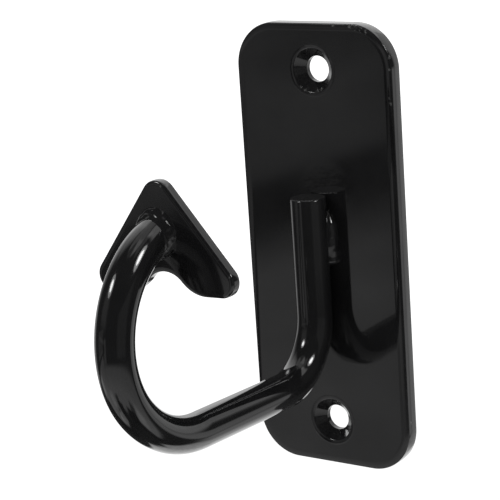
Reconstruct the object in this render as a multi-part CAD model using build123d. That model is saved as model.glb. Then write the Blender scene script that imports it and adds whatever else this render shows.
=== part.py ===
from build123d import *
import math
import os

# An exercise wall anchor: a wall plate with two countersunk screw holes, a round bar
# welded to it and bent into an open hook, and a chevron keeper plate welded to the tip.
# Millimetres. The wall is the plane y = 0, the hook reaches out along -Y and Z is up.
# The origin is the middle of the plate's back face.

# Wall plate
plate_width = 60.0
plate_height = 151.0
plate_thickness = 5.4
plate_corner_radius = 15.0
plate_edge_chamfer = 0.4

# Screw holes, one above and one below the hook, placed from the plate's ends
screw_end_distance = 15.5
screw_bore = 8.6
countersink_diameter = 15.1
countersink_angle = 90.0
countersink_rim_break = 0.3

# Round bar of the hook, from its upper end down the plate, out and round to the tip
rod_diameter = 12.0
rod_offset = -0.6
rod_seat_gap = 0.1
rod_end_chamfer = 0.5
leg_top = 18.9
leg_length = 39.5
heel_radius = 21.2
heel_angle = 92.0
arm_length = 45.1
belly_radius = 40.1
belly_angle = 48.4
crown_radius = 31.6
crown_angle = 106.8
tip_length = 3.5

# Keeper plate, as heights and half widths from the middle of the bar's end
keeper_thickness = 3.7
keeper_apex_height = 19.6
keeper_corner_reach = 30.5
keeper_heel_reach = 9.8
keeper_sole_drop = 18.2
keeper_notch_drop = 7.1
keeper_apex_radius = 5.5
keeper_corner_radius = 4.8
keeper_heel_radius = 11.5
keeper_notch_radius = 8.2
keeper_edge_chamfer = 0.4
keeper_offset = 1.5
keeper_tilt = 2.0

# Weld beads: the two beside the leg, then the ring round the bar's end. Reach is along the
# plate from the bar's centre line, and climb is up the bar from the plate's face.
leg_weld_top = 14.8
leg_weld_length = 19.6
leg_weld_reach = 7.2
leg_weld_climb = 4.0
leg_weld_pitch = 2.4
leg_lump_radius = 2.2
keeper_weld_reach = 7.4
keeper_weld_climb = 3.0
keeper_weld_lumps = 12
keeper_lump_radius = 3.2
lump_size_ratio = 0.05
lump_wave_angle = 2.4

rod_radius = rod_diameter / 2
plate_front = -plate_thickness
rod_axis_y = plate_front - rod_seat_gap - rod_radius


def wall_plate():
    """The rounded plate, with both screw holes countersunk from the front."""
    outline = Plane.XZ * RectangleRounded(plate_width, plate_height, plate_corner_radius)
    plate = extrude(outline, plate_thickness)
    rims = plate.faces().sort_by(Axis.Y)
    plate = chamfer(rims[0].edges() + rims[-1].edges(), plate_edge_chamfer)
    screw_height = plate_height / 2 - screw_end_distance
    return plate - screw_hole(screw_height) - screw_hole(-screw_height)


def screw_hole(height):
    """The bore, the countersink and the softened rim of one screw hole, centred at this height."""
    from_front = (Align.CENTER, Align.CENTER, Align.MIN)
    half_angle = math.radians(countersink_angle / 2)
    bore_radius = screw_bore / 2
    sink_radius = countersink_diameter / 2
    sink_depth = (sink_radius - bore_radius) / math.tan(half_angle)
    break_foot = sink_radius - countersink_rim_break * math.sin(half_angle)
    break_depth = countersink_rim_break * math.cos(half_angle)
    bore = Cylinder(bore_radius, plate_thickness, align=from_front)
    sink = Cone(sink_radius, bore_radius, sink_depth, align=from_front)
    rim = Cone(sink_radius + countersink_rim_break, break_foot, break_depth, align=from_front)
    front = Plane(origin=(0, plate_front, height), x_dir=(1, 0, 0), z_dir=(0, 1, 0))
    return front * (bore + sink + rim)


def hook_axis():
    """The bar's centre line, from its upper end to the middle of its tip."""
    leg_foot = leg_top - leg_length
    with BuildLine(Plane.YZ.offset(rod_offset)) as axis:
        leg = Line((rod_axis_y, leg_top), (rod_axis_y, leg_foot))
        heel = JernArc(leg @ 1, leg % 1, heel_radius, -heel_angle)
        arm = PolarLine(heel @ 1, arm_length, direction=heel % 1)
        belly = JernArc(arm @ 1, arm % 1, belly_radius, -belly_angle)
        crown = JernArc(belly @ 1, belly % 1, crown_radius, -crown_angle)
        PolarLine(crown @ 1, tip_length, direction=crown % 1)
    return axis.wire()


def hook_rod(axis):
    """The bent bar, chamfered at its upper end and cut flush with the keeper plate at its tip."""
    tip = axis @ 1
    run_on = Line(tip, tip + (axis % 1) * rod_diameter)
    section = Plane(origin=axis @ 0, z_dir=axis % 0) * Circle(rod_radius)
    rod = sweep(section, Wire([*axis.edges(), run_on]))
    rod = chamfer(rod.faces().sort_by(Axis.Z).filter_by(Plane.XY)[-1].edges(), rod_end_chamfer)
    return rod - behind(tip)


def keeper_plane(tip):
    """The plane of the keeper's outer face, with the keeper's small tilt about the tip."""
    return Plane(origin=tip, x_dir=(1, 0, 0), z_dir=(0, -1, 0)) * Rot(Z=keeper_tilt)


def keeper_plate(tip):
    """The chevron plate that keeps a band on the hook, its outer face on the bar's end."""
    corners = [
        (0, keeper_apex_height),
        (keeper_corner_reach, -keeper_sole_drop),
        (keeper_heel_reach, -keeper_sole_drop),
        (0, -keeper_notch_drop),
        (-keeper_heel_reach, -keeper_sole_drop),
        (-keeper_corner_reach, -keeper_sole_drop),
    ]
    radii = [
        keeper_apex_radius,
        keeper_corner_radius,
        keeper_heel_radius,
        keeper_notch_radius,
        keeper_heel_radius,
        keeper_corner_radius,
    ]
    outline = make_face(FilletPolyline(*corners, radius=radii, close=True))
    keeper = extrude(keeper_plane(tip) * Pos(keeper_offset, 0) * outline, -keeper_thickness)
    faces = keeper.faces().sort_by(Axis.Y)
    return chamfer(faces[0].edges() + faces[-1].edges(), keeper_edge_chamfer)


def behind(point):
    """A block that fills the space past a face square to Y at this point, to cut bar and beads flush."""
    size = 4 * rod_diameter
    block = Box(size, size, size, align=(Align.CENTER, Align.MIN, Align.CENTER))
    return Pos(point.X, point.Y, point.Z) * block


def weld_lump(toe, crest, root, radius, step):
    """One lump of a bead: a short cylinder that leans on the line from toe to crest.

    It lies on the root's side of that line. A slow wave along the bead, which turns by
    lump_wave_angle radians a lump, makes its radius differ a little from its neighbours'.
    """
    along = (crest - toe).normalized()
    middle = (toe + crest) / 2
    inward = root - middle
    inward = (inward - along * inward.dot(along)).normalized()
    lump_radius = radius * (1 + lump_size_ratio * math.sin(lump_wave_angle * step))
    plane = Plane(origin=middle + inward * radius, z_dir=along)
    return plane * Cylinder(lump_radius, 2 * (crest - toe).length)


def leg_weld(side, rod):
    """The bead in the groove between the leg and the plate, on one side of the leg."""
    lumps = round(leg_weld_length / leg_weld_pitch)
    first = leg_weld_top - leg_lump_radius
    last = leg_weld_top - leg_weld_length + leg_lump_radius
    crest_reach = math.sqrt(rod_radius**2 - (rod_seat_gap + rod_radius - leg_weld_climb) ** 2)
    bead = Part()
    for step in range(lumps):
        height = first + (last - first) * step / (lumps - 1)
        root = Vector(rod_offset, plate_front, height)
        toe = root + Vector(side * leg_weld_reach, 0, 0)
        crest = root + Vector(side * crest_reach, -leg_weld_climb, 0)
        bead += weld_lump(toe, crest, root, leg_lump_radius, step)
    return bead - behind(Vector(rod_offset, plate_front, 0)) - rod


def keeper_weld(axis, rod):
    """The ring of lumps round the bar's end, on the keeper's outer face."""
    tip = axis @ 1
    towards_tip = axis % 1
    lean = abs(towards_tip.Y)
    bead = Part()
    for step in range(keeper_weld_lumps):
        turn = 2 * math.pi * step / keeper_weld_lumps
        outward = Vector(math.cos(turn), 0, math.sin(turn) / lean)
        toe = tip + outward * keeper_weld_reach
        crest = tip + outward * rod_radius - towards_tip * (keeper_weld_climb / lean)
        bead += weld_lump(toe, crest, tip, keeper_lump_radius, step)
    return bead - behind(tip) - rod


os.makedirs("parts", exist_ok=True)
centre_line = hook_axis()
tip_point = centre_line @ 1
bar = hook_rod(centre_line)
nodes = {
    "wall_plate": wall_plate(),
    "hook_rod": bar,
    "keeper_plate": keeper_plate(tip_point),
    "leg_weld_right": leg_weld(1, bar),
    "leg_weld_left": leg_weld(-1, bar),
    "keeper_weld": keeper_weld(centre_line, bar),
}
for name, shape in nodes.items():
    export_step(shape, f"parts/{name}.step")
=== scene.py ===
"""An exercise wall anchor in gloss black coat, on a pale studio floor."""
import logging
import math
from dataclasses import dataclass
from enum import Enum
from typing import Any, Sequence

import bpy
from mathutils import Matrix, Vector, noise
from mathutils.geometry import tessellate_polygon


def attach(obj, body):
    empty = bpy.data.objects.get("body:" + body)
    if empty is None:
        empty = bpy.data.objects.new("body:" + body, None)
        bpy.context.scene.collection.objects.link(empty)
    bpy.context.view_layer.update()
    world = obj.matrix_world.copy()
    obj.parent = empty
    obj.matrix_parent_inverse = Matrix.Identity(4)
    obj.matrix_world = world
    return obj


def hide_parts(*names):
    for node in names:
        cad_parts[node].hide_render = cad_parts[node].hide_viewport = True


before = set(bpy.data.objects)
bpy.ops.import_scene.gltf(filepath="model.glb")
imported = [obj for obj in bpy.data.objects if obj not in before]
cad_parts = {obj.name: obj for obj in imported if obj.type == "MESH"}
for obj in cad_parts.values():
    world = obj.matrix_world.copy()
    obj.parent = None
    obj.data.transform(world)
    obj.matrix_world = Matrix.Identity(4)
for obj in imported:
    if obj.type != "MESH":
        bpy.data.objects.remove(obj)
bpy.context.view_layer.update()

log = logging.getLogger("wall_anchor")

Pair = tuple[float, float]
Triple = tuple[float, float, float]
# Points, each with a direction there
Track = list[tuple[Vector, Vector]]

ACROSS = Vector((1, 0, 0))
OUT = Vector((0, -1, 0))
UP = Vector((0, 0, 1))

# The middle of the anchor, at which the lamps aim
MIDDLE = Vector((0, -0.06, 0))
PLATE_THICKNESS = 0.0054
# How far a bead's edge runs into the plate that it lies on
TOE_SINK = 0.0001


def placed(name: str, data: bpy.types.ID) -> bpy.types.Object:
    """Puts an object into the scene.

    Args:
        name: The object's name.
        data: Its mesh, light or camera.

    Returns:
        The object.
    """
    made = bpy.data.objects.new(name, data)
    bpy.context.scene.collection.objects.link(made)
    return made


def way_to(azimuth: float, elevation: float) -> Vector:
    """The way to a lamp or camera.

    Args:
        azimuth: Its angle from the front to the right, in degrees.
        elevation: Its height above the horizon, in degrees.

    Returns:
        The unit vector.
    """
    turn, rise = math.radians(azimuth), math.radians(elevation)
    return Vector((math.sin(turn) * math.cos(rise), -math.cos(turn) * math.cos(rise), math.sin(rise)))


class Shade:
    """A socket of a shader, on which plain sums and products add their Math nodes."""

    def __init__(self, graph: "Graph", socket: bpy.types.NodeSocket) -> None:
        """Wraps one output socket.

        Args:
            graph: The node tree that the socket is in.
            socket: The output socket.
        """
        self.graph = graph
        self.socket = socket

    def __add__(self, other: "Shade | float") -> "Shade":
        """The sum of two values."""
        return self.graph.math("ADD", self, other)

    def __sub__(self, other: "Shade | float") -> "Shade":
        """This value less another."""
        return self.graph.math("SUBTRACT", self, other)

    def __mul__(self, other: "Shade | float") -> "Shade":
        """The product of two values."""
        return self.graph.math("MULTIPLY", self, other)

    def __rsub__(self, other: float) -> "Shade":
        """A number less this value."""
        return self.graph.math("SUBTRACT", other, self)

    __radd__ = __add__
    __rmul__ = __mul__

    def ramp(self, low: float, high: float) -> "Shade":
        """A smooth step over this value.

        Args:
            low: The value at which the step starts from 0.
            high: The value at which it reaches 1.

        Returns:
            The step, between 0 and 1.
        """
        sockets = {"Value": self, "From Min": low, "From Max": high}
        return self.graph.take("ShaderNodeMapRange", {"interpolation_type": "SMOOTHSTEP"}, sockets)


class Graph:
    """The node tree of a material or the world, filled from Python expressions."""

    def __init__(self, owner: bpy.types.Material | bpy.types.World) -> None:
        """Empties the owner's node tree.

        Args:
            owner: The material or world that the nodes belong to.
        """
        owner.use_nodes = True
        self.tree = owner.node_tree
        self.tree.nodes.clear()

    def node(self, kind: str, settings: dict[str, Any] | None = None,
             sockets: dict[str | int, Any] | None = None) -> bpy.types.Node:
        """Adds one node.

        Args:
            kind: The node's type.
            settings: Its properties, set before its sockets.
            sockets: A value or a link for each input, by the input's name or place.

        Returns:
            The node.
        """
        made = self.tree.nodes.new(kind)
        for name, setting in (settings or {}).items():
            setattr(made, name, setting)
        for name, given in (sockets or {}).items():
            entry = made.inputs[name]
            if isinstance(given, Shade):
                self.tree.links.new(given.socket, entry)
            else:
                entry.default_value = given
        return made

    def take(self, kind: str, settings: dict[str, Any] | None = None,
             sockets: dict[str | int, Any] | None = None, output: str | int = 0) -> Shade:
        """Adds one node and takes one of its outputs.

        Args:
            kind: The node's type.
            settings: Its properties.
            sockets: Its inputs.
            output: The name or place of the output.

        Returns:
            The output.
        """
        return Shade(self, self.node(kind, settings, sockets).outputs[output])

    def math(self, operation: str, *operands: Shade | float) -> Shade:
        """Adds a Math node.

        Args:
            operation: What it does.
            operands: Its inputs, in order.

        Returns:
            Its result.
        """
        return self.take("ShaderNodeMath", {"operation": operation}, dict(enumerate(operands)))

    def vector(self, operation: str, *operands: Shade | Sequence[float],
               output: str | int = 0) -> Shade:
        """Adds a Vector Math node.

        Args:
            operation: What it does.
            operands: Its inputs, in order.
            output: The output to take.

        Returns:
            Its result.
        """
        sockets = dict(enumerate(operands))
        return self.take("ShaderNodeVectorMath", {"operation": operation}, sockets, output)

    def mix(self, factor: Shade, first: Sequence[float] | Shade,
            second: Sequence[float] | Shade) -> Shade:
        """Mixes two colours.

        Args:
            factor: How much of the second colour there is.
            first: The colour at 0.
            second: The colour at 1.

        Returns:
            The mixed colour.
        """
        return self.take("ShaderNodeMix", {"data_type": "RGBA"}, {0: factor, 6: first, 7: second}, 2)

    def noise(self, point: Shade, scale: float, detail: float = 2.0, seed: float = 0.0) -> Shade:
        """Noise in space.

        Args:
            point: Where it is read.
            scale: Waves per metre.
            detail: How many finer layers it has.
            seed: Which of the many patterns it is.

        Returns:
            The noise, about 0.5.
        """
        sockets = {"Vector": point, "W": seed, "Scale": scale, "Detail": detail}
        return self.take("ShaderNodeTexNoise", {"noise_dimensions": "4D"}, sockets)


@dataclass(frozen=True)
class Spot:
    """A round spot of the coat, at a place on the object."""

    place: Triple
    radius: float


@dataclass(frozen=True)
class BlackCoat:
    """Gloss black coat: a dark ground under a clear, faintly rippled top.

    A scale counts a pattern's waves per metre, a height or depth is the relief in metres, a
    dull value is what a mark adds to the roughness, and a core is the share of a spot's
    radius over which it is whole.
    """

    name: str
    seed: float = 0.0
    ground: Triple = (0.0085, 0.0085, 0.009)
    pale: Triple = (0.014, 0.014, 0.0145)
    rubbed: Triple = (0.034, 0.034, 0.033)
    # Pale colour of the nicks: bared steel, and partly a painted glint on edges and hole rims
    bared_and_glint: Triple = (0.1, 0.1, 0.098)
    rubbed_share: float = 0.3
    roughness: float = 0.09
    top_roughness: float = 0.035
    refraction: float = 1.5
    cloud_scale: float = 60.0
    cloud_dull: float = 0.05
    speck_scale: float = 900.0
    wear_dull: float = 0.1
    dust_scale: float = 2600.0
    dust_dull: float = 0.05
    dust_height: float = 0.000002
    peel_scale: float = 700.0
    peel_height: float = 0.0000012
    swell_scale: float = 45.0
    swell_height: float = 0.00004
    pooled_scale: float = 300.0
    pooled_height: float = 0.00012
    nick_and_glint_core: float = 0.35
    nick_dull: float = 0.2
    nick_depth: float = 0.0002
    pool_core: float = 0.3
    # Spots of the nicks: real chips, each also painted pale as a glint
    nicks_and_glints: tuple[Spot, ...] = ()
    pools: tuple[Spot, ...] = ()

    def material(self) -> bpy.types.Material:
        """Makes the material.

        Returns:
            The material, with its nodes.
        """
        made = bpy.data.materials.new(self.name)
        graph = Graph(made)
        place = graph.take("ShaderNodeTexCoord", output="Object")
        edge = graph.take("ShaderNodeAttribute", {"attribute_name": "edge"}, output="Fac")
        cloud = graph.noise(place, self.cloud_scale, 3.0, self.seed)
        speck = graph.noise(place, self.speck_scale, 3.0, self.seed + 3.0)
        wear = edge * speck.ramp(0.5, 0.68)
        # Mask of the nicks: real chips, also carrying painted glints
        chips_and_glints = self._spots(graph, place, self.nicks_and_glints, self.nick_and_glint_core) * speck.ramp(0.44, 0.56)
        grains = graph.noise(place, self.dust_scale, 1.0, self.seed + 9.0)
        dust = grains.ramp(0.66, 0.72) * cloud.ramp(0.45, 0.7)
        colour = graph.mix(cloud.ramp(0.3, 0.75), (*self.ground, 1.0), (*self.pale, 1.0))
        colour = graph.mix(wear * self.rubbed_share, colour, (*self.rubbed, 1.0))
        # Paints the nicks pale: partly bared steel, partly a painted glint
        colour = graph.mix(chips_and_glints, colour, (*self.bared_and_glint, 1.0))
        rough = self.roughness + (cloud - 0.5) * self.cloud_dull
        rough = rough + wear * self.wear_dull + dust * self.dust_dull + chips_and_glints * self.nick_dull
        surface = graph.take("ShaderNodeBsdfPrincipled", sockets={
            "Base Color": colour,
            "Roughness": rough,
            "Coat Weight": 1.0,
            "Coat Roughness": self.top_roughness,
            "Coat IOR": self.refraction,
            "IOR": self.refraction,
            "Normal": self._relief(graph, place, chips_and_glints, dust),
        })
        graph.node("ShaderNodeOutputMaterial", sockets={"Surface": surface})
        return made

    @staticmethod
    def _spots(graph: Graph, place: Shade, spots: Sequence[Spot], core: float) -> Shade | float:
        """Some spots as one mask.

        Args:
            graph: The node tree.
            place: The point on the object.
            spots: The spots.
            core: The share of a spot's radius over which the mask is whole.

        Returns:
            1 in the middle of a spot, 0 away from them all.
        """
        mask: Shade | float = 0.0
        for spot in spots:
            away = graph.vector("DISTANCE", place, spot.place, output="Value")
            mask = mask + (1.0 - away.ramp(spot.radius * core, spot.radius))
        return mask

    def _relief(self, graph: Graph, place: Shade, chips_and_glints: Shade, dust: Shade) -> Shade:
        """The coat's ripple, orange peel, nicks and dust as one bumped normal.

        Args:
            graph: The node tree.
            place: The point on the object.
            chips_and_glints: The nicks' mask, which also carries their painted glints.
            dust: The mask of dust grains in the coat.

        Returns:
            The normal.
        """
        swell = graph.noise(place, self.swell_scale, 1.0, self.seed + 1.0)
        peel = graph.noise(place, self.peel_scale, 1.0, self.seed + 2.0)
        uneven = graph.take("ShaderNodeAttribute", {"attribute_name": "uneven"}, output="Fac")
        uneven = uneven + self._spots(graph, place, self.pools, self.pool_core)
        pooled = graph.noise(place, self.pooled_scale, 2.0, self.seed + 4.0) * uneven
        height = swell * self.swell_height + pooled * self.pooled_height
        height = height + peel * self.peel_height + dust * self.dust_height - chips_and_glints * self.nick_depth
        return graph.take("ShaderNodeBump", sockets={"Strength": 1.0, "Distance": 1.0, "Height": height})


class Skin:
    """Points, their normals and the faces between them, gathered before they become one mesh."""

    def __init__(self) -> None:
        """Starts an empty skin."""
        self.points: list[Vector] = []
        self.normals: list[Vector] = []
        self.edge: list[float] = []
        self.uneven: list[float] = []
        self.faces: list[tuple[int, ...]] = []

    def row(self, points: Sequence[Vector], normals: Sequence[Vector], edge: float = 0.0,
            uneven: float = 0.0) -> list[int]:
        """Adds a row of points.

        Args:
            points: Where they are.
            normals: Which way the surface faces at each.
            edge: How much of a rubbed edge the row is, from 0 to 1.
            uneven: How unevenly the coat has pooled there, from 0 to 1.

        Returns:
            Their places in the mesh.
        """
        first = len(self.points)
        self.points.extend(points)
        self.normals.extend(normal.normalized() for normal in normals)
        self.edge.extend([edge] * len(points))
        self.uneven.extend([uneven] * len(points))
        return list(range(first, len(self.points)))

    def bridge(self, one: Sequence[int], other: Sequence[int], closed: bool = True) -> None:
        """Fills the strip between two rows of equal length.

        Args:
            one: The first row.
            other: The second row.
            closed: True if the rows run round to their start.
        """
        count = len(one)
        for step in range(count if closed else count - 1):
            after = (step + 1) % count
            self.faces.append((one[step], one[after], other[after], other[step]))

    def loft(self, rows: Sequence[Sequence[int]], closed: bool = True) -> None:
        """Fills the strips between rows that follow each other.

        Args:
            rows: The rows, in order.
            closed: True if the rows run round to their start.
        """
        for one, other in zip(rows, rows[1:]):
            self.bridge(one, other, closed)

    def sheet(self, rims: Sequence[Sequence[int]]) -> None:
        """Fills a flat face that has an outer rim and any holes.

        Args:
            rims: The rows round it, the outer one first.
        """
        flat = [index for rim in rims for index in rim]
        loops = [[self.points[index] for index in rim] for rim in rims]
        for corners in tessellate_polygon(loops):
            self.faces.append(tuple(flat[corner] for corner in corners))

    def piece(self, name: str) -> bpy.types.Object:
        """Makes the mesh and its object.

        Args:
            name: The piece's name.

        Returns:
            The object, in the scene.
        """
        mesh = bpy.data.meshes.new(name)
        mesh.from_pydata(self.points, [], [self._outward(face) for face in self.faces])
        mesh.attributes.new("edge", "FLOAT", "POINT").data.foreach_set("value", self.edge)
        mesh.attributes.new("uneven", "FLOAT", "POINT").data.foreach_set("value", self.uneven)
        mesh.shade_smooth()
        mesh.normals_split_custom_set_from_vertices(self.normals)
        return placed(name, mesh)

    def _outward(self, face: tuple[int, ...]) -> tuple[int, ...]:
        """Turns a face so that it agrees with its points' normals.

        Args:
            face: The face's points.

        Returns:
            The points in the order that faces outwards.
        """
        first, second, third = (self.points[index] for index in face[:3])
        facing = (second - first).cross(third - first)
        if len(face) == 4:
            facing += (third - first).cross(self.points[face[3]] - first)
        lean = sum(facing.dot(self.normals[index]) for index in face)
        return face if lean >= 0 else face[::-1]


@dataclass(frozen=True)
class Station:
    """One step of a rounded edge: how far in from the side, how far behind the face, its tilt."""

    inset: float
    depth: float
    tilt: float

    @property
    def rubbed(self) -> float:
        """1 on the tightest part of the edge, 0 on the flats."""
        return max(0.0, math.sin(2 * self.tilt)) ** 2

    @classmethod
    def arc(cls, middle: Pair, radius: float, tilts: Pair, steps: int,
            first: int = 1) -> "list[Station]":
        """The steps along one arc of a section.

        Args:
            middle: The inset and depth of the arc's centre.
            radius: The arc's radius.
            tilts: The tilts at the two ends, in radians.
            steps: The number of steps between them.
            first: 0 to start on the first end, 1 to start a step after it.

        Returns:
            The steps.
        """
        made = []
        for step in range(first, steps + 1):
            tilt = tilts[0] + (tilts[1] - tilts[0]) * step / steps
            made.append(cls(middle[0] - radius * math.sin(tilt), middle[1] - radius * math.cos(tilt), tilt))
        return made


@dataclass(frozen=True)
class RoundedEdge:
    """The section of a plate's rim, over a shallow roll, a tight round, the side and the back.

    The side bulges by side_lean degrees each way from upright.
    """

    thickness: float
    roll_width: float = 0.0025
    roll_tilt: float = 11.5
    front_round: float = 0.0004
    back_round: float = 0.0003
    side_lean: float = 5.0
    roll_steps: int = 6
    front_steps: int = 12
    side_steps: int = 8
    back_steps: int = 10

    def stations(self) -> list[Station]:
        """The steps of the section.

        Returns:
            The steps, from the front face to the back face.
        """
        tilt, lean = math.radians(self.roll_tilt), math.radians(self.side_lean)
        roll = self.roll_width / math.sin(tilt)
        front_depth = roll + (self.front_round - roll) * math.cos(tilt) - self.front_round * math.sin(lean)
        back_depth = self.thickness - self.back_round * (1 - math.sin(lean))
        crown = (back_depth - front_depth) / (2 * math.sin(lean))
        bulge = crown * (1 - math.cos(lean))
        front = (bulge + self.front_round * math.cos(lean), front_depth + self.front_round * math.sin(lean))
        back = (bulge + self.back_round * math.cos(lean), self.thickness - self.back_round)
        flat = (front[0] - self.front_round * math.sin(tilt) + self.roll_width, roll)
        side = (crown, (front_depth + back_depth) / 2)
        upright = math.pi / 2
        return [
            *Station.arc(flat, roll, (0.0, tilt), self.roll_steps, first=0),
            *Station.arc(front, self.front_round, (tilt, upright - lean), self.front_steps),
            *Station.arc(side, crown, (upright - lean, upright + lean), self.side_steps),
            *Station.arc(back, self.back_round, (upright + lean, math.pi), self.back_steps),
        ]


def add_rim(skin: Skin, stations: Sequence[Station], outline: Track, uneven: float = 0.0) -> list[list[int]]:
    """Adds the rim round an outline.

    Args:
        skin: The plate's skin.
        stations: The rim's section.
        outline: Each point of the outline with the way out of the metal there.
        uneven: How unevenly the coat has pooled on all but the first row.

    Returns:
        The rows of the rim, from the front face to the back face.
    """
    rows = []
    for station in stations:
        points = [point - outward * station.inset - OUT * station.depth for point, outward in outline]
        sideways, forwards = math.sin(station.tilt), OUT * math.cos(station.tilt)
        normals = [outward * sideways + forwards for _, outward in outline]
        rows.append(skin.row(points, normals, station.rubbed, uneven if rows else 0.0))
    skin.loft(rows)
    return rows


def ring(side: Vector, count: int) -> list[Vector]:
    """The ways out of a round section.

    Args:
        side: The way in the section that is square to ACROSS.
        count: The number of ways.

    Returns:
        The unit vectors, from ACROSS round over the side.
    """
    turns = (2 * math.pi * step / count for step in range(count))
    return [ACROSS * math.cos(turn) + side * math.sin(turn) for turn in turns]


def rounded_outline(corners: Sequence[Vector], radii: Sequence[float], step: float = 4.0) -> Track:
    """A closed outline in the plane of X and Z with rounded corners.

    Args:
        corners: The sharp corners, clockwise as seen from the front.
        radii: The radius at each corner.
        step: The turn between points on a corner, in degrees.

    Returns:
        Each point with the way out of the outline there.
    """
    rim = []
    count = len(corners)
    for order, (corner, radius) in enumerate(zip(corners, radii)):
        before = (corner - corners[order - 1]).normalized()
        after = (corners[(order + 1) % count] - corner).normalized()
        out_before = OUT.cross(before)
        out_after = OUT.cross(after)
        bulges = out_before.dot(after) < 0
        turn = before.angle(after)
        side = 1.0 if bulges else -1.0
        centre = corner - before * radius * math.tan(turn / 2) - out_before * radius * side
        steps = max(2, math.ceil(math.degrees(turn) / step))
        for index in range(steps + 1):
            outward = out_before.slerp(out_after, index / steps)
            rim.append((centre + outward * radius * side, outward))
    return rim


@dataclass
class WallPlate:
    """The plate that screws to the wall, with its two countersunk holes."""

    width: float = 0.05998
    height: float = 0.15098
    thickness: float = PLATE_THICKNESS
    corner_radius: float = 0.015
    screw_end_distance: float = 0.01549
    bore_radius: float = 0.0043
    sink_radius: float = 0.00755
    rim_roll_width: float = 0.0013
    rim_roll_tilt: float = 12.0
    rim_round: float = 0.0005
    throat_round: float = 0.0003
    rim_steps: int = 6
    throat_steps: int = 5
    around: int = 96
    edge: RoundedEdge = RoundedEdge(PLATE_THICKNESS)
    # Nicks on the top edge, the right side and the upper hole's rim, painted pale partly as glints
    coat: BlackCoat = BlackCoat("coat_wall_plate", seed=1.0, nicks_and_glints=(
        Spot((0.0089, -0.0052, 0.0748), 0.0008),
        Spot((0.0112, -0.0052, 0.0748), 0.0006),
        Spot((0.0151, -0.0053, 0.0745), 0.0009),
        Spot((0.0171, -0.0053, 0.0742), 0.0010),
        Spot((0.0192, -0.0053, 0.0738), 0.0009),
        Spot((0.0212, -0.0053, 0.0731), 0.0008),
        Spot((0.0286, -0.0051, 0.0664), 0.0007),
        Spot((0.0290, -0.0049, 0.0652), 0.0011),
        Spot((0.0292, -0.0053, 0.0610), 0.0006),
        Spot((0.0289, -0.0053, 0.0518), 0.0006),
        Spot((0.0290, -0.0053, 0.0500), 0.0007),
        Spot((-0.0050, -0.0052, 0.0543), 0.0006),
        Spot((-0.0034, -0.0051, 0.0532), 0.0007),
        Spot((0.0029, -0.0047, 0.0539), 0.0008),
        Spot((0.0300, -0.0007, 0.0448), 0.0005),
        Spot((0.0300, -0.0036, -0.0577), 0.0009),
        Spot((0.0300, -0.0036, -0.0597), 0.0009),
    ), pools=(Spot((0.003, -0.0054, 0.020), 0.011),))

    def build(self) -> bpy.types.Object:
        """Builds the plate in one mesh.

        Returns:
            The plate.
        """
        skin = Skin()
        half_width, half_height = self.width / 2, self.height / 2
        signs = ((1, 1), (1, -1), (-1, -1), (-1, 1))
        corners = [Vector((x * half_width, -self.thickness, z * half_height)) for x, z in signs]
        outline = rounded_outline(corners, [self.corner_radius] * 4, step=3.0)
        rows = add_rim(skin, self.edge.stations(), outline)
        fronts, backs = [rows[0]], [rows[-1]]
        screw_height = half_height - self.screw_end_distance
        for height in (screw_height, -screw_height):
            middle = Vector((0, -self.thickness, height))
            bore = [(middle, -way) for way in ring(UP, self.around)]
            hole = add_rim(skin, self._hole_section(), bore, uneven=1.0)
            fronts.append(hole[0])
            backs.append(hole[-1])
        skin.sheet(fronts)
        skin.sheet(backs)
        return skin.piece("wall_plate_coated")

    def _hole_section(self) -> list[Station]:
        """The section of a screw hole; here a station's inset is its radius.

        Returns:
            The steps, from the plate's face to its back.
        """
        eighth, upright = math.pi / 4, math.pi / 2
        tilt = math.radians(self.rim_roll_tilt)
        roll = self.rim_roll_width / math.sin(tilt)
        drop = (roll - self.rim_round) * (1 - math.cos(tilt))
        rim_middle = self.sink_radius - drop + self.rim_round * math.tan(eighth / 2)
        roll_middle = rim_middle + (roll - self.rim_round) * math.sin(tilt)
        throat_middle = self.bore_radius + self.throat_round
        throat_depth = self.sink_radius - self.bore_radius + self.throat_round * math.tan(eighth / 2)
        flat = (roll_middle, roll)
        rim = (rim_middle, drop + self.rim_round)
        throat = (throat_middle, throat_depth)
        back = (throat_middle, self.thickness - self.throat_round)
        return [
            *Station.arc(flat, roll, (0.0, tilt), self.rim_steps, first=0),
            *Station.arc(rim, self.rim_round, (tilt, eighth), self.rim_steps),
            *Station.arc(throat, self.throat_round, (eighth, upright), self.throat_steps, first=0),
            *Station.arc(back, self.throat_round, (upright, math.pi), self.throat_steps, first=0),
        ]


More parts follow.
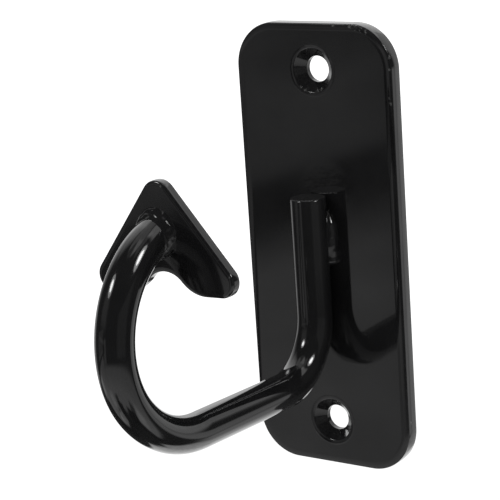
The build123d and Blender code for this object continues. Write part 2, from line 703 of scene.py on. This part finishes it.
@dataclass
class HookRod:
    """The bent round bar: leg, heel, arm, belly, crown and tip."""

    radius: float = 0.00598
    offset: float = -0.0006
    seat_gap: float = 0.00012
    plate_thickness: float = PLATE_THICKNESS
    leg_top: float = 0.0189
    leg_length: float = 0.0395
    heel_radius: float = 0.0212
    heel_angle: float = 92.0
    arm_length: float = 0.0451
    belly_radius: float = 0.0401
    belly_angle: float = 48.4
    crown_radius: float = 0.0316
    crown_angle: float = 106.8
    tip_length: float = 0.0035
    end_round: float = 0.0006
    sink_in: float = 0.0006
    around: int = 128
    end_steps: int = 8
    bend_step: float = 1.2
    coat: BlackCoat = BlackCoat("coat_hook_rod", seed=11.0)

    def centre_line(self) -> Track:
        """The bar's centre line.

        Returns:
            Each point with the way the bar runs there, from the leg's top to the tip.
        """
        stand_off = self.plate_thickness + self.seat_gap + self.radius
        line = [(Vector((self.offset, -stand_off, self.leg_top)), -UP)]
        self._run(line, self.leg_length)
        self._bend(line, self.heel_radius, self.heel_angle)
        self._run(line, self.arm_length)
        self._bend(line, self.belly_radius, self.belly_angle)
        self._bend(line, self.crown_radius, self.crown_angle)
        self._run(line, self.tip_length)
        return line

    @staticmethod
    def _run(line: Track, length: float) -> None:
        """Adds a straight run.

        Args:
            line: The centre line so far.
            length: The run's length.
        """
        start, along = line[-1]
        line.append((start + along * length, along))

    def _bend(self, line: Track, radius: float, angle: float) -> None:
        """Adds a bend that turns away from the wall, up and back to it.

        Args:
            line: The centre line so far.
            radius: The bend's radius.
            angle: Its turn in degrees.
        """
        start, along = line[-1]
        centre = start + ACROSS.cross(along) * -radius
        steps = round(angle / self.bend_step)
        for step in range(1, steps + 1):
            turn = Matrix.Rotation(-math.radians(angle) * step / steps, 3, ACROSS)
            line.append((centre + turn @ (start - centre), turn @ along))

    def build(self) -> bpy.types.Object:
        """Builds the bar in one mesh.

        Returns:
            The bar.
        """
        skin = Skin()
        line = self.centre_line()
        rows = self._upper_end(skin, *line[0])
        for place, along in line[1:]:
            ways = ring(along.cross(ACROSS), self.around)
            rows.append(skin.row([place + way * self.radius for way in ways], ways))
        face = line[-1][0].y + self.sink_in
        end_way = line[-1][1]
        last = rows[-1]
        for index in last:
            skin.points[index] += end_way * ((face - skin.points[index].y) / end_way.y)
        skin.loft(rows)
        cap = skin.row([skin.points[index].copy() for index in last], [-OUT] * self.around)
        skin.sheet([cap])
        skin.sheet([rows[0]])
        return skin.piece("hook_rod_coated")

    def _upper_end(self, skin: Skin, top: Vector, along: Vector) -> list[list[int]]:
        """Adds the rounded rim of the leg's upper end.

        Args:
            skin: The bar's skin.
            top: The middle of the end.
            along: The way the bar runs from it.

        Returns:
            The rows of the rim, from the end face down.
        """
        ways = ring(along.cross(ACROSS), self.around)
        rows = []
        for step in range(self.end_steps + 1):
            turn = math.pi / 2 * step / self.end_steps
            reach = self.radius - self.end_round * (1 - math.sin(turn))
            down = along * self.end_round * (1 - math.cos(turn))
            points = [top + way * reach + down for way in ways]
            normals = [way * math.sin(turn) - along * math.cos(turn) for way in ways]
            rows.append(skin.row(points, normals, math.sin(2 * turn) ** 2))
        return rows


@dataclass
class KeeperPlate:
    """The chevron plate on the bar's tip."""

    tip: Vector
    apex_height: float = 0.0196
    corner_reach: float = 0.0305
    heel_reach: float = 0.0098
    sole_drop: float = 0.0182
    notch_drop: float = 0.0071
    apex_radius: float = 0.0055
    corner_radius: float = 0.0048
    heel_radius: float = 0.0115
    notch_radius: float = 0.0082
    offset: float = 0.0015
    tilt: float = 2.0
    edge: RoundedEdge = RoundedEdge(thickness=0.0037, roll_width=0.0008, roll_tilt=10.0,
                                    front_round=0.0009, back_round=0.0005, side_lean=3.0)
    # Nicks on the keeper, painted pale partly as glints
    coat: BlackCoat = BlackCoat("coat_keeper_plate", seed=23.0, nicks_and_glints=(
        Spot((0.0262, -0.0916, 0.0103), 0.0004),
        Spot((0.0255, -0.0926, 0.0144), 0.0004),
        Spot((0.0028, -0.0927, 0.0398), 0.0005),
    ))

    def build(self) -> bpy.types.Object:
        """Builds the keeper in one mesh.

        Returns:
            The keeper.
        """
        shape = (
            (0, self.apex_height, self.apex_radius),
            (self.corner_reach, -self.sole_drop, self.corner_radius),
            (self.heel_reach, -self.sole_drop, self.heel_radius),
            (0, -self.notch_drop, self.notch_radius),
            (-self.heel_reach, -self.sole_drop, self.heel_radius),
            (-self.corner_reach, -self.sole_drop, self.corner_radius),
        )
        turn = Matrix.Rotation(-math.radians(self.tilt), 3, "Y")
        corners = [self.tip + turn @ Vector((across + self.offset, 0, up)) for across, up, _ in shape]
        skin = Skin()
        outline = rounded_outline(corners, [radius for _, _, radius in shape])
        rows = add_rim(skin, self.edge.stations(), outline)
        skin.sheet([rows[0]])
        skin.sheet([rows[-1]])
        return skin.piece("keeper_plate_coated")


@dataclass
class Bead:
    """A weld bead: overlapping lumps between a toe line on a plate and a crest line on the bar.

    A waves value gives a pattern's waves per metre along the bead, its waves from toe to
    crest and its seed.
    """

    name: str
    closed: bool
    pitch: float = 0.0034
    bow: float = 0.55
    crown: float = 0.0006
    ripple: float = 0.00008
    roughening: float = 0.00045
    rough_waves: Triple = (170.0, 1.4, 0.0)
    wrinkle: float = 0.0
    wrinkle_waves: Triple = (480.0, 3.6, 5.0)
    uneven: float = 0.3
    across: int = 20
    seed: float = 0.0
    coat: BlackCoat = BlackCoat("coat_weld", seed=31.0, swell_height=0.00006)

    def build(self, toes: Sequence[Vector], crests: Sequence[Vector],
              roots: Sequence[Vector]) -> bpy.types.Object:
        """Builds the bead in one mesh.

        Args:
            toes: The line on the plate.
            crests: The line on the bar, point for point.
            roots: The line inside the joint, point for point.

        Returns:
            The bead.
        """
        shares = [step / self.across for step in range(self.across + 1)]
        grid = []
        run = 0.0
        for order, (toe, crest, root) in enumerate(zip(toes, crests, roots)):
            run += (toe - toes[order - 1]).length if order else 0.0
            grid.append([self._point(toe, crest, root, run, share) for share in shares])
        skin = Skin()
        rows = [skin.row(points, self._normals(grid, order, roots[order]), uneven=self.uneven)
                for order, points in enumerate(grid)]
        skin.loft(rows, closed=False)
        if self.closed:
            skin.bridge(rows[-1], rows[0], closed=False)
        else:
            backwards = grid[0][0] - grid[-1][0]
            for place, way in ((0, backwards), (-1, -backwards)):
                points = [skin.points[index].copy() for index in rows[place]] + [roots[place]]
                end = skin.row(points, [way] * len(points))
                skin.faces.extend((end[step], end[step + 1], end[-1]) for step in range(self.across))
        return skin.piece(self.name)

    def _point(self, toe: Vector, crest: Vector, root: Vector, run: float, across: float) -> Vector:
        """One point of the bead's surface.

        Args:
            toe: The bead's edge on the plate.
            crest: The bead's edge on the bar.
            root: The point inside the joint.
            run: The distance along the bead.
            across: The share of the way from toe to crest.

        Returns:
            The point.
        """
        chord = crest - toe
        outward = (toe + crest) / 2 - root
        outward = (outward - chord * (outward.dot(chord) / chord.length_squared)).normalized()
        bulge = 4 * across * (1 - across)
        wave = 0.5 + 0.5 * math.cos(2 * math.pi * (run / self.pitch + self.bow * bulge))
        rough, fine = (noise.noise(Vector((run * along, across * over, self.seed + seed)))
                       for along, over, seed in (self.rough_waves, self.wrinkle_waves))
        swell = self.crown + self.ripple * wave + self.roughening * rough + self.wrinkle * fine
        return toe.lerp(crest, across) + outward * bulge * swell

    def _normals(self, grid: list[list[Vector]], order: int, root: Vector) -> list[Vector]:
        """The normals along one row of the bead.

        Args:
            grid: The surface's points.
            order: The row's place.
            root: The point inside the joint, which the normals point away from.

        Returns:
            One normal for each point of the row.
        """
        count = len(grid)
        back = grid[order - 1] if self.closed or order else grid[order]
        ahead = grid[(order + 1) % count] if self.closed or order + 1 < count else grid[order]
        row = grid[order]
        normals = []
        for step, point in enumerate(row):
            along = ahead[step] - back[step]
            across = row[min(step + 1, len(row) - 1)] - row[max(step - 1, 0)]
            normal = along.cross(across).normalized()
            normals.append(normal if normal.dot(point - root) > 0 else -normal)
        return normals


class Side(Enum):
    """The side of the leg that a bead is on."""

    RIGHT = 1
    LEFT = -1


@dataclass
class LegWeld:
    """The bead between the leg and the wall plate, on one side."""

    side: Side
    rod: HookRod
    top: float = 0.0134
    length: float = 0.0194
    reach: float = 0.0074
    climb: float = 0.0038
    dwindle: float = 0.2
    upper_taper: float = 0.0068
    lower_taper: float = 0.0030
    end_reach: float = 0.44
    end_climb: float = 0.2
    reach_wander: float = 0.0004
    reach_waves: float = 260.0
    climb_wander: float = 0.0006
    climb_waves: float = 230.0
    crest_sink: float = 0.00012
    root_offset: float = 0.0015
    steps: int = 150

    def build(self) -> bpy.types.Object:
        """Builds the bead.

        Returns:
            The bead.
        """
        toes, crests, roots = [], [], []
        face = -self.rod.plate_thickness
        seed = 3.0 * self.side.value
        for step in range(self.steps + 1):
            run = self.length * step / self.steps
            room = min(1.0, run / self.upper_taper, (self.length - run) / self.lower_taper)
            swell = math.sin(room * math.pi / 2) * (1 - self.dwindle * run / self.length)
            wander = noise.noise(Vector((run * self.reach_waves, seed, 0.0)))
            reach = self.reach + self.reach_wander * wander
            reach *= self.end_reach + (1 - self.end_reach) * swell
            wander = noise.noise(Vector((run * self.climb_waves, seed, 4.0)))
            climb = self.climb + self.climb_wander * wander
            climb *= self.end_climb + (1 - self.end_climb) * swell
            below_axis = self.rod.seat_gap + self.rod.radius - climb
            on_rod = math.sqrt(self.rod.radius ** 2 - below_axis ** 2) - self.crest_sink
            ends = ((toes, reach, face + TOE_SINK), (crests, on_rod, face - climb),
                    (roots, self.root_offset, face))
            for line, out, y in ends:
                line.append(Vector((self.rod.offset + self.side.value * out, y, self.top - run)))
        bead = Bead(f"leg_weld_{self.side.name.lower()}_coated", closed=False, roughening=0.0002, seed=seed)
        return bead.build(toes, crests, roots)


@dataclass
class KeeperWeld:
    """The ring of weld round the bar's tip."""

    rod: HookRod
    reach: float = 0.0073
    wide_side: float = 0.0007
    wide_way: float = 48.0
    climb: float = 0.0032
    reach_wander: float = 0.0005
    climb_wander: float = 0.0009
    wander_turns: float = 2.2
    crest_sink: float = 0.00015
    steps: int = 240

    def build(self) -> bpy.types.Object:
        """Builds the ring.

        Returns:
            The ring.
        """
        tip, along = self.rod.centre_line()[-1]
        lean = abs(along.y)
        toes, crests, roots = [], [], []
        for step in range(self.steps):
            turn = 2 * math.pi * step / self.steps
            way = Vector((math.cos(turn), 0, math.sin(turn) / lean))
            loop = Vector((math.cos(turn), math.sin(turn), 0)) * self.wander_turns
            reach = self.reach + self.wide_side * math.cos(turn - math.radians(self.wide_way))
            reach += self.reach_wander * noise.noise(loop)
            climb = self.climb + self.climb_wander * noise.noise(loop + UP * 7.0)
            toes.append(tip + way * reach - OUT * TOE_SINK)
            crests.append(tip + way * (self.rod.radius - self.crest_sink) - along * (climb / lean))
            roots.append(tip.copy())
        bead = Bead("keeper_weld_coated", closed=True, crown=0.0001, roughening=0.0003, wrinkle=0.0002,
                    seed=12.0)
        return bead.build(toes, crests, roots)


@dataclass
class PhotoCamera:
    """The camera at the photograph's viewing angle."""

    place: Triple = (0.344207, -0.520555, 0.151959)
    azimuth: float = 35.9855
    elevation: float = 13.6756
    roll: float = 3.8893
    lens: float = 137.78

    def build(self) -> None:
        """Sets up the camera."""
        back = way_to(self.azimuth, self.elevation)
        level = (-back).cross(UP).normalized()
        upright = back.cross(level)
        roll = math.radians(self.roll)
        right = level * math.cos(roll) - upright * math.sin(roll)
        above = level * math.sin(roll) + upright * math.cos(roll)
        data = bpy.data.cameras.new("photo_camera")
        data.lens = self.lens
        data.sensor_width = 36.0
        data.clip_start = 0.01
        camera = placed("photo_camera", data)
        axes = Matrix((right, above, back)).transposed().to_4x4()
        camera.matrix_world = Matrix.Translation(self.place) @ axes
        bpy.context.scene.camera = camera


@dataclass(frozen=True)
class Panel:
    """A lit part of the studio, by the ways in which the anchor sees it, in degrees.

    Soft is how wide its edges fade, across and up. Lean is how far it rises for each degree
    past the pivot.
    """

    azimuth: Pair
    elevation: Pair
    strength: float
    soft: Pair = (4.0, 4.0)
    lean: float = 0.0
    pivot: float = 0.0

    def glow(self, azimuth: Shade, elevation: Shade) -> Shade:
        """The light that comes from the panel.

        Args:
            azimuth: The way looked in, from 0 at the front to the right.
            elevation: Its height above the horizon.

        Returns:
            The strength, which fades over the panel's soft edges.
        """
        across = self._band(azimuth, self.azimuth, self.soft[0])
        if self.lean:
            elevation = elevation - (azimuth - self.pivot) * self.lean
        return across * self._band(elevation, self.elevation, self.soft[1]) * self.strength

    @staticmethod
    def _band(angle: Shade, ends: Pair, soft: float) -> Shade:
        """1 between two angles, 0 outside them.

        Args:
            angle: The angle.
            ends: The two ends.
            soft: The width of the fade at each end.

        Returns:
            The band.
        """
        half = soft / 2
        rise = angle.ramp(ends[0] - half, ends[0] + half)
        return rise * (1.0 - angle.ramp(ends[1] - half, ends[1] + half))


@dataclass(frozen=True)
class Softbox:
    """A round lamp with a brighter middle, by the way in which the anchor sees it."""

    name: str
    azimuth: float
    elevation: float
    wide: float
    tall: float
    brightness: float
    core: float
    core_brightness: float
    distance: float = 3.0
    core_ahead: float = 0.1

    def build(self) -> None:
        """Sets up the lamp and its middle."""
        self._light(self.name, self.distance, 1.0, self.brightness)
        nearer = self.distance - self.core_ahead
        self._light(f"{self.name}_middle", nearer, self.core, self.core_brightness)

    def _light(self, name: str, distance: float, share: float, brightness: float) -> None:
        """Sets up one area light, aimed at the anchor.

        Args:
            name: The light's name.
            distance: How far it is from the anchor.
            share: Its size as a share of the lamp's.
            brightness: How bright its face is.
        """
        way = way_to(self.azimuth, self.elevation)
        data = bpy.data.lights.new(name, "AREA")
        data.shape = "ELLIPSE"
        data.size = 2 * distance * math.tan(math.radians(self.wide * share / 2))
        data.size_y = 2 * distance * math.tan(math.radians(self.tall * share / 2))
        face_area = math.pi / 4 * data.size * data.size_y
        data.energy = brightness * math.pi * face_area
        lamp = placed(name, data)
        lamp.location = MIDDLE + way * distance
        lamp.rotation_euler = way.to_track_quat("Z", "Y").to_euler()


@dataclass
class Studio:
    """A plain pale floor, two softboxes and the pale and dark parts of the room."""

    floor_height: float = -0.35
    floor_reach: float = 6.0
    floor_pale: Triple = (0.86, 0.86, 0.86)
    floor_grey: Triple = (0.82, 0.82, 0.82)
    floor_glow: float = 0.55
    floor_far_glow: float = 0.4
    room: float = 0.03
    darkest: float = 0.018
    fill: float = 0.36
    patchiness: float = 0.9
    patch_waves: Triple = (16.0, 16.0, 55.0)
    panels: tuple[Panel, ...] = (
        Panel((-185, -119), (-4, 68), 0.52, soft=(22, 14)),
        Panel((-185, -102), (8, 68), 0.36, soft=(36, 20)),
        Panel((-185, -131), (-72, -5), 0.95, soft=(6, 8)),
        Panel((145, 185), (-32, 42), 0.46, soft=(6, 6)),
        Panel((135, 144), (-24, -4), 0.4, soft=(3, 6)),
        Panel((-122, -98), (-16, 66), 0.13, soft=(24, 14)),
        Panel((-113, -84), (36, 66), 0.25, soft=(18, 14)),
        Panel((-84, -66), (-36, -26), 0.25, soft=(6, 5)),
        Panel((-104, -74), (-76, -40), -0.5, soft=(6, 8)),
        Panel((147, 185), (-68, -32), 0.42, soft=(5, 6)),
        Panel((148, 185), (-70, -38), 0.36, soft=(6, 8)),
        Panel((112, 185), (39, 68), 0.65, soft=(8, 6)),
        Panel((66, 125), (58, 70), 0.2, soft=(16, 8)),
        Panel((-185, 185), (71, 95), 0.1),
        Panel((-185, -48), (71, 95), 0.24, soft=(10, 4)),
        Panel((22, 185), (71, 95), 0.24, soft=(10, 4)),
        Panel((32, 98), (71, 95), 0.26, soft=(20, 4)),
        Panel((-82, -22), (-61, -13.6), 0.24, soft=(8, 2), lean=0.28, pivot=-35.6),
        Panel((-124, -92), (-24, 0), 0.3, soft=(14, 6)),
        Panel((-22, 126), (-61, -20.5), 0.27, soft=(8, 6)),
        Panel((-74, 126), (-61, -32), 0.15, soft=(10, 22)),
        Panel((-62, -11), (-74, -61), 0.5, soft=(14, 4)),
        Panel((-9, 21), (-66, -54), -0.42, soft=(8, 5)),
        Panel((-9, 9), (-57, -46), -0.36, soft=(6, 5)),
        Panel((44, 89), (-66, -54), -0.42, soft=(6, 5)),
        Panel((86, 130), (-66, -57), -0.36, soft=(6, 5)),
        Panel((67, 86), (-57, -44), -0.34, soft=(6, 6)),
        Panel((-62, -30), (-11.7, 6), 0.09, soft=(2.4, 0.6), lean=0.24, pivot=-35.6),
        Panel((-62, -30), (-11.7, -9), 0.05, soft=(2.4, 0.6), lean=0.24, pivot=-35.6),
        Panel((-62, -20), (-14.3, -11.8), -0.03, soft=(2.4, 0.6), lean=0.24, pivot=-35.6),
        Panel((-30.6, -27.2), (-16, -12), -0.3, soft=(1.6, 2)),
        Panel((-22, -13), (-19, 1), 0.16, soft=(5, 3)),
        Panel((-31, -23), (-22, -6), -0.12, soft=(4, 3)),
        Panel((50, 100), (-15.5, 16), 0.065, soft=(16, 4)),
        Panel((-54, -20), (-3.6, -1), 0.1, soft=(6, 1.6)),
        Panel((-54, -18), (8, 34), 0.13, soft=(16, 16)),
        Panel((-44, -22), (-56, -42), 0.24, soft=(10, 8)),
        Panel((90, 112), (-56, -40), 0.3, soft=(10, 8)),
    )
    lamps: tuple[Softbox, ...] = (
        Softbox("left_softbox", -36.0, 39.5, 24.0, 18.5, 1.8, core=0.54, core_brightness=9.0),
        Softbox("right_softbox", 91.5, 39.5, 19.0, 23.0, 2.4, core=0.58, core_brightness=10.0),
    )

    def build(self) -> None:
        """Sets up the floor, the world and the lamps."""
        self._floor()
        self._world()
        for lamp in self.lamps:
            lamp.build()
        bpy.context.scene.view_settings.view_transform = "Standard"

    def _floor(self) -> None:
        """Lays the floor, white to the camera with the anchor's shadow on it."""
        reach = self.floor_reach
        mesh = bpy.data.meshes.new("studio_floor")
        signs = ((-1, -1), (1, -1), (1, 1), (-1, 1))
        mesh.from_pydata([(x * reach, y * reach, self.floor_height) for x, y in signs], [], [(0, 1, 2, 3)])
        floor = placed("studio_floor", mesh)
        floor.visible_glossy = False
        made = bpy.data.materials.new("floor_paint")
        graph = Graph(made)
        place = graph.take("ShaderNodeTexCoord", output="Object")
        away = graph.vector("LENGTH", place, output="Value")
        grain = graph.noise(place, 90.0)
        tone = graph.mix(grain.ramp(0.3, 0.7), (*self.floor_grey, 1.0), (*self.floor_pale, 1.0))
        seen = graph.take("ShaderNodeLightPath", output="Is Camera Ray")
        paint = graph.take("ShaderNodeBsdfPrincipled", sockets={
            "Base Color": tone,
            "Roughness": 1.0,
            "Specular IOR Level": 0.0,
            "Emission Color": seen * (self.floor_glow + away.ramp(0.4, 1.6) * self.floor_far_glow),
            "Emission Strength": 1.0,
        })
        graph.node("ShaderNodeOutputMaterial", sockets={"Surface": paint})
        mesh.materials.append(made)

    def _world(self) -> None:
        """Makes the world: white to the camera, a room with lit panels to the gloss."""
        world = bpy.data.worlds.new("studio_world")
        bpy.context.scene.world = world
        graph = Graph(world)
        way = graph.take("ShaderNodeTexCoord", output="Generated")
        parts = graph.node("ShaderNodeSeparateXYZ", sockets={"Vector": way})
        across, ahead, up = (Shade(graph, socket) for socket in parts.outputs)
        azimuth = graph.math("ARCTAN2", across, ahead * -1.0) * math.degrees(1.0)
        elevation = graph.math("ARCSINE", up) * math.degrees(1.0)
        glow: Shade | float = self.room
        for panel in self.panels:
            glow = glow + panel.glow(azimuth, elevation)
        path = graph.node("ShaderNodeLightPath")
        seen, gloss, through = (Shade(graph, path.outputs[f"Is {kind} Ray"])
                                for kind in ("Camera", "Glossy", "Transmission"))
        glow = graph.math("MAXIMUM", glow, self.darkest)
        patch = graph.noise(graph.vector("MULTIPLY", way, self.patch_waves), 1.0)
        glow = glow * (1.0 + (patch - 0.5) * self.patchiness)
        rest = (1.0 - seen) * (1.0 - gloss) * (1.0 - through)
        strength = seen + through + gloss * glow + rest * self.fill
        sockets = {"Color": (1.0, 1.0, 1.0, 1.0), "Strength": strength}
        light = graph.take("ShaderNodeBackground", sockets=sockets)
        graph.node("ShaderNodeOutputWorld", sockets={"Surface": light})


def dress(piece: bpy.types.Object, node: str, coat: BlackCoat) -> None:
    """Gives a piece its finish and ties it to the part.

    Args:
        piece: The piece.
        node: The part's node that it stands for.
        coat: The finish.
    """
    piece.data.materials.append(coat.material())
    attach(piece, "root")
    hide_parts(node)
    log.info("%s: %d faces", piece.name, len(piece.data.polygons))


def main() -> None:
    """Builds the anchor, the camera and the studio."""
    logging.basicConfig(level=logging.INFO, format="%(name)s: %(message)s")
    plate = WallPlate()
    rod = HookRod()
    keeper = KeeperPlate(tip=rod.centre_line()[-1][0])
    dress(plate.build(), "wall_plate", plate.coat)
    dress(rod.build(), "hook_rod", rod.coat)
    dress(keeper.build(), "keeper_plate", keeper.coat)
    for side in Side:
        dress(LegWeld(side, rod).build(), f"leg_weld_{side.name.lower()}", Bead.coat)
    dress(KeeperWeld(rod).build(), "keeper_weld", Bead.coat)
    PhotoCamera().build()
    Studio().build()


if __name__ == "__main__":
    main()
